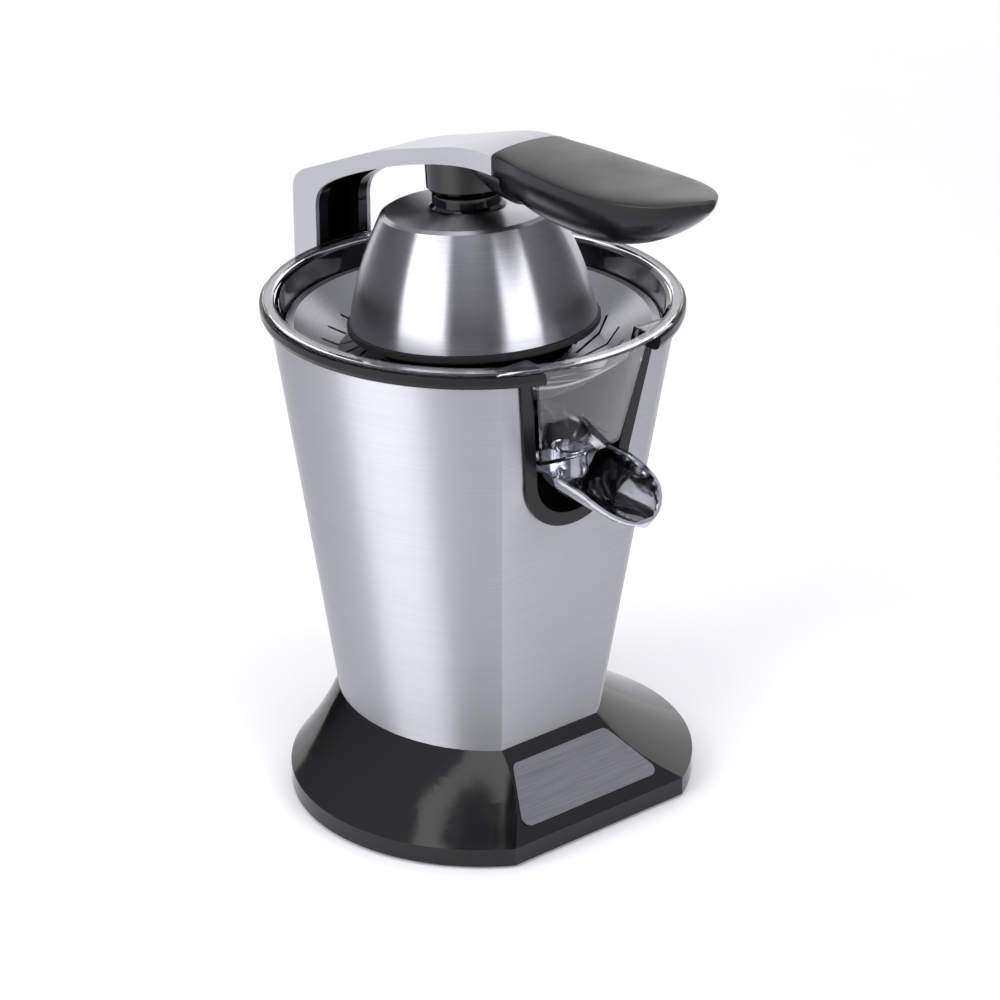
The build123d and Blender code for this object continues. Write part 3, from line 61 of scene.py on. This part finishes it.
# ---------------------------------------------------------------- base cover
# A flared cover moulded in ABS, with its mould polished, so it is deep black with sharp reflections.
# The polish leaves a faint long wave in the skin, which bends the reflections a little.
CREASE = radians(28)
CLOUD_MM = 22  # how wide the patches of slightly different gloss are on a moulded skin
FACTOR, FIRST, SECOND, MIXED = 0, 6, 7, 2  # sockets of a Mix node that mixes two colours


def linear(hex_colour):
    """An sRGB hex colour as the four linear numbers that a socket takes."""
    channels = [int(hex_colour[i:i + 2], 16) / 255 for i in (1, 3, 5)]
    return [c / 12.92 if c < 0.04045 else ((c + 0.055) / 1.055) ** 2.4 for c in channels] + [1.0]


def add(tree, kind, inputs=None, **settings):
    """Adds a node with its settings, and gives each named input a value or a link."""
    node = tree.nodes.new(kind)
    for name, value in settings.items():
        setattr(node, name, value)
    for name, value in (inputs or {}).items():
        if isinstance(value, bpy.types.NodeSocket):
            tree.links.new(value, node.inputs[name])
        else:
            node.inputs[name].default_value = value
    return node


def new_material(name):
    """An empty material, its tree, and the place of each point on its piece."""
    material = bpy.data.materials.new(name)
    material.use_nodes = True
    tree = material.node_tree
    tree.nodes.clear()
    return material, tree, add(tree, "ShaderNodeTexCoord").outputs["Object"]


def moulded(name, dark, light, rough, texture_mm, depth_mm, **sockets):
    """A moulded plastic: a skin of fine texture, with a slight change of tone and gloss over it."""
    material, tree, place = new_material(name)
    cloud = add(tree, "ShaderNodeTexNoise", {"Vector": place, "Scale": 1 / (CLOUD_MM * MM), "Detail": 3})
    tone = add(tree, "ShaderNodeMapRange", {"Value": cloud.outputs["Fac"], "From Min": 0.3, "From Max": 0.7})
    colour = add(tree, "ShaderNodeMix", {
        FACTOR: tone.outputs[0], FIRST: linear(dark), SECOND: linear(light)}, data_type="RGBA")
    gloss = add(tree, "ShaderNodeMapRange", {
        "Value": tone.outputs[0], "To Min": rough * 0.85, "To Max": rough * 1.2})
    skin = add(tree, "ShaderNodeTexNoise", {"Vector": place, "Scale": 1 / (texture_mm * MM)})
    relief = add(tree, "ShaderNodeBump", {"Height": skin.outputs["Fac"], "Distance": depth_mm * MM})
    shader = add(tree, "ShaderNodeBsdfPrincipled", {
        "Base Color": colour.outputs[MIXED], "Roughness": gloss.outputs[0],
        "Normal": relief.outputs[0], **sockets})
    add(tree, "ShaderNodeOutputMaterial", {"Surface": shader.outputs[0]})
    return material


def finish_in(material, *nodes, crease=CREASE):
    """Gives CAD nodes their material, shaded smooth up to the crease angle."""
    for name in nodes:
        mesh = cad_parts[name].data
        mesh.materials.clear()
        mesh.materials.append(material)
        mesh.shade_smooth()
        mesh.set_sharp_from_angle(angle=crease)


gloss_abs = moulded("gloss_abs_black", "#050506", "#08080a", 0.09, 12, 0.006, **{
    "IOR": 1.5, "Specular IOR Level": 0.42})
finish_in(gloss_abs, "base_cover")

# ---------------------------------------------------------------- foot ring, bottom plate and base screws
# The foot is a ring of matte TPE rubber. The plate is moulded in PP with
# a spark-eroded texture, drawn 0.8 mm coarse so that it shows. The screws are zinc-plated steel.
rubber = moulded("tpe_rubber_black", "#0c0c0d", "#131315", 0.7, 1.2, 0.05, IOR=1.5)
finish_in(rubber, "foot_ring", "cable_gland", "shaft_seal", "motor_mounts")
textured_pp = moulded("textured_pp_black", "#0d0d0f", "#131316", 0.45, 0.8, 0.03, IOR=1.49)
finish_in(textured_pp, "base_plate")

DRAWN_OUT = 30  # how many times longer than wide a turned line is


def machined(name, dark, light, rough, line_mm=0.6, depth_mm=0.01):
    """A turned or drawn metal: fine lines across its length, with a slight change of tone."""
    material, tree, place = new_material(name)
    along = 1 / (DRAWN_OUT * line_mm * MM)
    drawn = add(tree, "ShaderNodeMapping", {"Vector": place, "Scale": (along, along, 1 / (line_mm * MM))})
    lines = add(tree, "ShaderNodeTexNoise", {"Vector": drawn.outputs[0], "Scale": 1.0, "Detail": 2})
    tone = add(tree, "ShaderNodeMapRange", {"Value": lines.outputs["Fac"], "From Min": 0.3, "From Max": 0.7})
    colour = add(tree, "ShaderNodeMix", {
        FACTOR: tone.outputs[0], FIRST: linear(dark), SECOND: linear(light)}, data_type="RGBA")
    gloss = add(tree, "ShaderNodeMapRange", {
        "Value": tone.outputs[0], "To Min": rough * 0.8, "To Max": rough * 1.25})
    relief = add(tree, "ShaderNodeBump", {"Height": lines.outputs["Fac"], "Distance": depth_mm * MM})
    shader = add(tree, "ShaderNodeBsdfPrincipled", {
        "Base Color": colour.outputs[MIXED], "Metallic": 1.0, "Roughness": gloss.outputs[0],
        "Normal": relief.outputs[0]})
    add(tree, "ShaderNodeOutputMaterial", {"Surface": shader.outputs[0]})
    return material


zinc_steel = machined("zinc_plated_steel", "#8e9196", "#b4b7bb", 0.32)
finish_in(
    zinc_steel, "base_screws", "bracket_screws", "gearbox_screws", "motor_bolts", "hinge_pin", "return_spring")

# ---------------------------------------------------------------- badge plate
# A blank plate of 430 stainless steel let into the front of the base, brushed along its length with a grit
# that leaves lines about 0.3 mm apart. It is flat, so its lines don't run round the upright axis as the other
# brushed pieces' do, and it takes no smear from them. It carries no lettering.
ROUND_THE_AXIS = 0.25  # a quarter turn, which lays the smear across the brushed lines


def brushed(name, dark, light, rough, line_mm=0.3, length_mm=25, smear=0.8, depth_mm=0.0008):
    """Steel brushed level, round the upright axis: its lines smear each lamp up and down."""
    material, tree, place = new_material(name)
    drawn = add(tree, "ShaderNodeMapping", {
        "Vector": place, "Scale": (1 / (length_mm * MM), 1 / (length_mm * MM), 1 / (line_mm * MM))})
    lines = add(tree, "ShaderNodeTexNoise", {"Vector": drawn.outputs[0], "Scale": 1.0, "Detail": 2})
    tone = add(tree, "ShaderNodeMapRange", {"Value": lines.outputs["Fac"], "From Min": 0.35, "From Max": 0.65})
    colour = add(tree, "ShaderNodeMix", {
        FACTOR: tone.outputs[0], FIRST: linear(dark), SECOND: linear(light)}, data_type="RGBA")
    gloss = add(tree, "ShaderNodeMapRange", {
        "Value": tone.outputs[0], "To Min": rough * 0.95, "To Max": rough * 1.05})
    around = add(tree, "ShaderNodeTangent", direction_type="RADIAL", axis="Z")
    relief = add(tree, "ShaderNodeBump", {"Height": lines.outputs["Fac"], "Distance": depth_mm * MM})
    shader = add(tree, "ShaderNodeBsdfPrincipled", {
        "Base Color": colour.outputs[MIXED], "Metallic": 1.0, "Roughness": gloss.outputs[0],
        "Anisotropic": smear, "Anisotropic Rotation": ROUND_THE_AXIS, "Tangent": around.outputs[0],
        "Normal": relief.outputs[0]})
    add(tree, "ShaderNodeOutputMaterial", {"Surface": shader.outputs[0]})
    return material


badge_steel = brushed("brushed_steel_plate", "#86868d", "#97979e", 0.38, smear=0.0, depth_mm=0.002)
finish_in(badge_steel, "badge_plate", crease=radians(20))

# ---------------------------------------------------------------- sleeve
# The stand's skin is one sheet of 0.8 mm stainless steel, brushed round and rolled into a cone with a flat
# front. The grain runs level, so a lamp shows as a soft band from top to bottom.
sleeve_steel = brushed("brushed_steel_sheet", "#b6b6bc", "#bfbfc5", 0.44, length_mm=60, smear=0.93)
finish_in(sleeve_steel, "sleeve", crease=radians(12))

# ---------------------------------------------------------------- collar, basin and spout bay
# The collar and the trim round the spout are ABS with a satin skin; the basin below the bowl is the same
# plastic, polished, because juice is wiped from it.
satin_abs = moulded("satin_abs_black", "#060607", "#0a0a0c", 0.2, 1.0, 0.006, **{
    "IOR": 1.5, "Specular IOR Level": 0.27})
finish_in(satin_abs, "top_collar", "spout_bay", "dome_lining")
finish_in(gloss_abs, "basin")

# ---------------------------------------------------------------- hinge bracket and washers
# Glass-filled nylon, black, with a dull skin where the fibres lie near it. The washers are acetal, as are the
# gears, the cup under the shaft and the small pieces beside them.
filled_nylon = moulded("filled_nylon_black", "#101012", "#19191b", 0.5, 0.7, 0.03, IOR=1.53)
finish_in(filled_nylon, "hinge_bracket", "micro_switch")
acetal = moulded("acetal_natural", "#d9d8cf", "#e6e5dd", 0.35, 2.5, 0.02, IOR=1.48)
finish_in(acetal, "hinge_washers", "terminal_block", "switch_plunger", "thrust_cup", "idler_gear", "final_gear")

# ---------------------------------------------------------------- clear bowl
# The bowl is moulded in clear SAN, 1.8 mm thick and polished, so it shows by its reflections and bright edges.
clear, tree, place = new_material("clear_san")
RIPPLE_MM = 14
wave = add(tree, "ShaderNodeTexNoise", {"Vector": place, "Scale": 1 / (RIPPLE_MM * MM), "Detail": 2})
relief = add(tree, "ShaderNodeBump", {"Height": wave.outputs["Fac"], "Distance": 0.04 * MM})
shader = add(tree, "ShaderNodeBsdfPrincipled", {
    "Base Color": linear("#f4f5f8"), "Roughness": 0.03, "IOR": 1.57, "Transmission Weight": 1.0,
    "Normal": relief.outputs[0]})
add(tree, "ShaderNodeOutputMaterial", {"Surface": shader.outputs[0]})
finish_in(clear, "bowl", crease=radians(20))

# ---------------------------------------------------------------- strainer
# A pressed disc of 304 stainless steel with slots for the juice. It was brushed while it turned, so its lines
# are rings, drawn 0.7 mm apart so that they show.
RING_MM = 0.7
strainer_steel, tree, place = new_material("turned_steel_sheet")
flat = add(tree, "ShaderNodeVectorMath", {0: place, 1: (1, 1, 0)}, operation="MULTIPLY")
reach = add(tree, "ShaderNodeVectorMath", {0: flat.outputs[0]}, operation="LENGTH")
ringed = add(tree, "ShaderNodeCombineXYZ", {"X": reach.outputs["Value"]})
rings = add(tree, "ShaderNodeTexNoise", {"Vector": ringed.outputs[0], "Scale": 1 / (RING_MM * MM), "Detail": 2})
tone = add(tree, "ShaderNodeMapRange", {"Value": rings.outputs["Fac"], "From Min": 0.3, "From Max": 0.7})
colour = add(tree, "ShaderNodeMix", {
    FACTOR: tone.outputs[0], FIRST: linear("#a4a4aa"), SECOND: linear("#b2b2b8")}, data_type="RGBA")
gloss = add(tree, "ShaderNodeMapRange", {"Value": tone.outputs[0], "To Min": 0.3, "To Max": 0.36})
around = add(tree, "ShaderNodeTangent", direction_type="RADIAL", axis="Z")
relief = add(tree, "ShaderNodeBump", {"Height": rings.outputs["Fac"], "Distance": 0.0015 * MM})
shader = add(tree, "ShaderNodeBsdfPrincipled", {
    "Base Color": colour.outputs[MIXED], "Metallic": 1.0, "Roughness": gloss.outputs[0], "Anisotropic": 0.6,
    "Anisotropic Rotation": ROUND_THE_AXIS, "Tangent": around.outputs[0], "Normal": relief.outputs[0]})
add(tree, "ShaderNodeOutputMaterial", {"Surface": shader.outputs[0]})
finish_in(strainer_steel, "strainer", crease=radians(12))

# ---------------------------------------------------------------- spout
# The spout is die-cast zinc with bright chrome plate, smooth enough to mirror the bay round it.
chrome, tree, place = new_material("chrome_plated_zinc")
PLATE_WAVE_MM = 8
wave = add(tree, "ShaderNodeTexNoise", {"Vector": place, "Scale": 1 / (PLATE_WAVE_MM * MM), "Detail": 2})
colour = add(tree, "ShaderNodeMix", {
    FACTOR: wave.outputs["Fac"], FIRST: linear("#b9bac0"), SECOND: linear("#cfd0d5")}, data_type="RGBA")
gloss = add(tree, "ShaderNodeMapRange", {"Value": wave.outputs["Fac"], "To Min": 0.06, "To Max": 0.12})
relief = add(tree, "ShaderNodeBump", {"Height": wave.outputs["Fac"], "Distance": 0.02 * MM})
shader = add(tree, "ShaderNodeBsdfPrincipled", {
    "Base Color": colour.outputs[MIXED], "Metallic": 1.0, "Roughness": gloss.outputs[0],
    "Normal": relief.outputs[0]})
add(tree, "ShaderNodeOutputMaterial", {"Surface": shader.outputs[0]})
finish_in(chrome, "spout")

# ---------------------------------------------------------------- lever arm
# The arm's shell is die-cast aluminium, painted silver: a satin paint with aluminium flake about 0.1 mm wide,
# drawn at 0.4 mm so that it shows. The liner under it is black ABS with a satin skin.
paint, tree, place = new_material("silver_flake_paint")
FLAKE_MM, PAINT_CLOUD_MM = 0.4, 30
flake = add(tree, "ShaderNodeTexNoise", {"Vector": place, "Scale": 1 / (FLAKE_MM * MM), "Detail": 1})
cloud = add(tree, "ShaderNodeTexNoise", {"Vector": place, "Scale": 1 / (PAINT_CLOUD_MM * MM), "Detail": 2})
colour = add(tree, "ShaderNodeMix", {
    FACTOR: flake.outputs["Fac"], FIRST: linear("#a0a1a8"), SECOND: linear("#c6c7cd")}, data_type="RGBA")
gloss = add(tree, "ShaderNodeMapRange", {"Value": cloud.outputs["Fac"], "To Min": 0.32, "To Max": 0.44})
relief = add(tree, "ShaderNodeBump", {"Height": flake.outputs["Fac"], "Distance": 0.008 * MM})
shader = add(tree, "ShaderNodeBsdfPrincipled", {
    "Base Color": colour.outputs[MIXED], "Metallic": 0.75, "Roughness": gloss.outputs[0],
    "Coat Weight": 0.15, "Coat Roughness": 0.2, "Normal": relief.outputs[0]})
add(tree, "ShaderNodeOutputMaterial", {"Surface": shader.outputs[0]})
finish_in(paint, "arm_shell")
finish_in(satin_abs, "arm_liner")

# ---------------------------------------------------------------- grip
# Two shells over the arm's end, moulded in ABS. The lower one has a satin skin that shines along its side, and
# the upper one is coated soft to the touch: matte, with a grey sheen.
soft_touch = moulded("soft_touch_black", "#0d0d0f", "#131315", 0.4, 0.5, 0.01, **{
    "IOR": 1.5, "Sheen Weight": 0.16, "Sheen Roughness": 0.4})
finish_in(soft_touch, "grip_top", crease=radians(35))
finish_in(satin_abs, "grip_bottom", crease=radians(35))

# ---------------------------------------------------------------- socket, neck and press dome
# The neck and its socket are polished ABS. The dome is deep-drawn stainless steel, polished on a lathe, so its
# fine lines are rings and lamps show as bands from its neck to its rim. A TPE ring closes its mouth.
finish_in(gloss_abs, "dome_socket", "dome_neck")
dome_steel = brushed("lathe_polished_steel", "#9b9ca2", "#a6a6ac", 0.30, smear=0.95)
finish_in(dome_steel, "press_dome")
finish_in(rubber, "dome_rim_ring")

# ---------------------------------------------------------------- reamer and its shaft
# The cone that the fruit is pressed on is polished ABS, and the shaft is ground stainless steel.
finish_in(gloss_abs, "reamer")
ground_steel = machined("ground_steel", "#9a9ca0", "#c0c2c5", 0.2)
finish_in(ground_steel, "drive_shaft", "idler_axle", "rotor_shaft", "rotor_pinion", "motor_spacers")
bronze = machined("sintered_bronze", "#8a6a3c", "#a58252", 0.42)
finish_in(bronze, "shaft_bearing", "lower_bearing", "upper_bearing")

# ---------------------------------------------------------------- gearbox and motor
# The housings are glass-filled nylon in grey. The motor's cores are stacks of electrical steel sheets, drawn
# 0.8 mm thick so that they show, and its windings are enamelled copper wire, drawn 0.5 mm wide.
grey_nylon = moulded("filled_nylon_grey", "#4a4b4e", "#5b5c5f", 0.5, 0.7, 0.03)
finish_in(grey_nylon, "gearbox_housing", "gearbox_cover", "motor_frame")
cores = machined("laminated_core_steel", "#4d4f52", "#83868a", 0.4, line_mm=0.8, depth_mm=0.08)
finish_in(cores, "stator_core", "rotor_core")
copper = machined("enamelled_copper", "#7a3516", "#b5602f", 0.3, line_mm=0.5, depth_mm=0.1)
finish_in(copper, "motor_windings")

# ---------------------------------------------------------------- return spring
# A coil of zinc-plated spring wire that lifts the shaft. Its lower end stays put, and it shortens as the shaft
# goes down.
# A copy with a mesh of its own, hung on the stand, stands in for the fixed one.
# Nothing here makes it shorten.
coil = bpy.data.objects.new("return_coil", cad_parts["return_spring"].data.copy())
bpy.context.scene.collection.objects.link(coil)
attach(coil, "stand")
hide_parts("return_spring")
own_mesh(coil)

# ---------------------------------------------------------------- floor, light and camera
# A pale floor under soft boxes. The room is dim near the floor, so that the steel shows dark bands between the
# lamps, but looks pale where nothing stands in front of it.
AIM = Vector((9.5, -7.8, 135.8)) * MM
CAMERA_TURN, CAMERA_RISE, CAMERA_AWAY = radians(-39.2), radians(24.9), 1470 * MM
SENSOR_MM, LENS_MM = 36, 113.7


def around_aim(turn, rise, away):
    return AIM + Vector((sin(turn) * cos(rise), -cos(turn) * cos(rise), sin(rise))) * away


def softbox(name, turn, rise, away, width, height, glow):
    """A lamp behind a white cloth, aimed at the press; glow is how bright its cloth looks."""
    lamp = bpy.data.lights.new(name, "AREA")
    lamp.shape, lamp.size, lamp.size_y, lamp.energy = "RECTANGLE", width, height, glow * pi * width * height
    holder = bpy.data.objects.new(name, lamp)
    bpy.context.scene.collection.objects.link(holder)
    holder.location = around_aim(radians(turn), radians(rise), away)
    holder.rotation_euler = (AIM - holder.location).to_track_quat("-Z", "Y").to_euler()


softbox("left_box", turn=-89, rise=20, away=1.5, width=1.2, height=0.8, glow=6.2)
softbox("right_box", turn=8, rise=20, away=1.5, width=0.9, height=0.8, glow=5.2)
softbox("back_box", turn=141, rise=16, away=2.3, width=4.0, height=1.6, glow=1.2)
softbox("top_box", turn=0, rise=88, away=1.4, width=0.9, height=0.9, glow=1.9)

LOW_GLOW, HIGH_GLOW = 0.05, 0.8  # of the room, near its floor and overhead
world = bpy.data.worlds.new("studio")
bpy.context.scene.world = world
world.use_nodes = True
sky = world.node_tree
place = add(sky, "ShaderNodeTexCoord")
split = add(sky, "ShaderNodeSeparateXYZ", {"Vector": place.outputs["Generated"]})
glow = add(sky, "ShaderNodeMapRange", {
    "Value": split.outputs["Z"], "From Min": 0.15, "From Max": 0.9,
    "To Min": LOW_GLOW, "To Max": HIGH_GLOW})
sky.nodes["Background"].inputs["Color"].default_value = linear("#f5f5fb")
seen = add(sky, "ShaderNodeLightPath")
pale = add(sky, "ShaderNodeMapRange", {
    "Value": seen.outputs["Is Camera Ray"], "To Min": glow.outputs[0], "To Max": 1.0})
sky.links.new(pale.outputs[0], sky.nodes["Background"].inputs["Strength"])

FLOOR_R, DUST_MM = 4, 60
bpy.ops.mesh.primitive_circle_add(
    vertices=96, radius=FLOOR_R, fill_type="NGON", location=(0, 0, cad_box[0].z))
floor = bpy.context.object
floor.name = "floor"
floor_paint, tree, place = new_material("matte_white_floor")
dust = add(tree, "ShaderNodeTexNoise", {"Vector": place, "Scale": 1 / (DUST_MM * MM), "Detail": 2})
colour = add(tree, "ShaderNodeMix", {
    FACTOR: dust.outputs["Fac"], FIRST: linear("#fafafc"), SECOND: linear("#fdfdff")}, data_type="RGBA")
shader = add(tree, "ShaderNodeBsdfPrincipled", {"Base Color": colour.outputs[MIXED], "Roughness": 0.6})
add(tree, "ShaderNodeOutputMaterial", {"Surface": shader.outputs[0]})
floor.data.materials.append(floor_paint)

camera = bpy.data.objects.new("camera", bpy.data.cameras.new("camera"))
bpy.context.scene.collection.objects.link(camera)
camera.location = around_aim(CAMERA_TURN, CAMERA_RISE, CAMERA_AWAY)
camera.rotation_euler = (AIM - camera.location).to_track_quat("-Z", "Y").to_euler()
camera.data.sensor_width, camera.data.lens = SENSOR_MM, LENS_MM
bpy.context.scene.camera = camera
bpy.context.scene.view_settings.view_transform = "Standard"
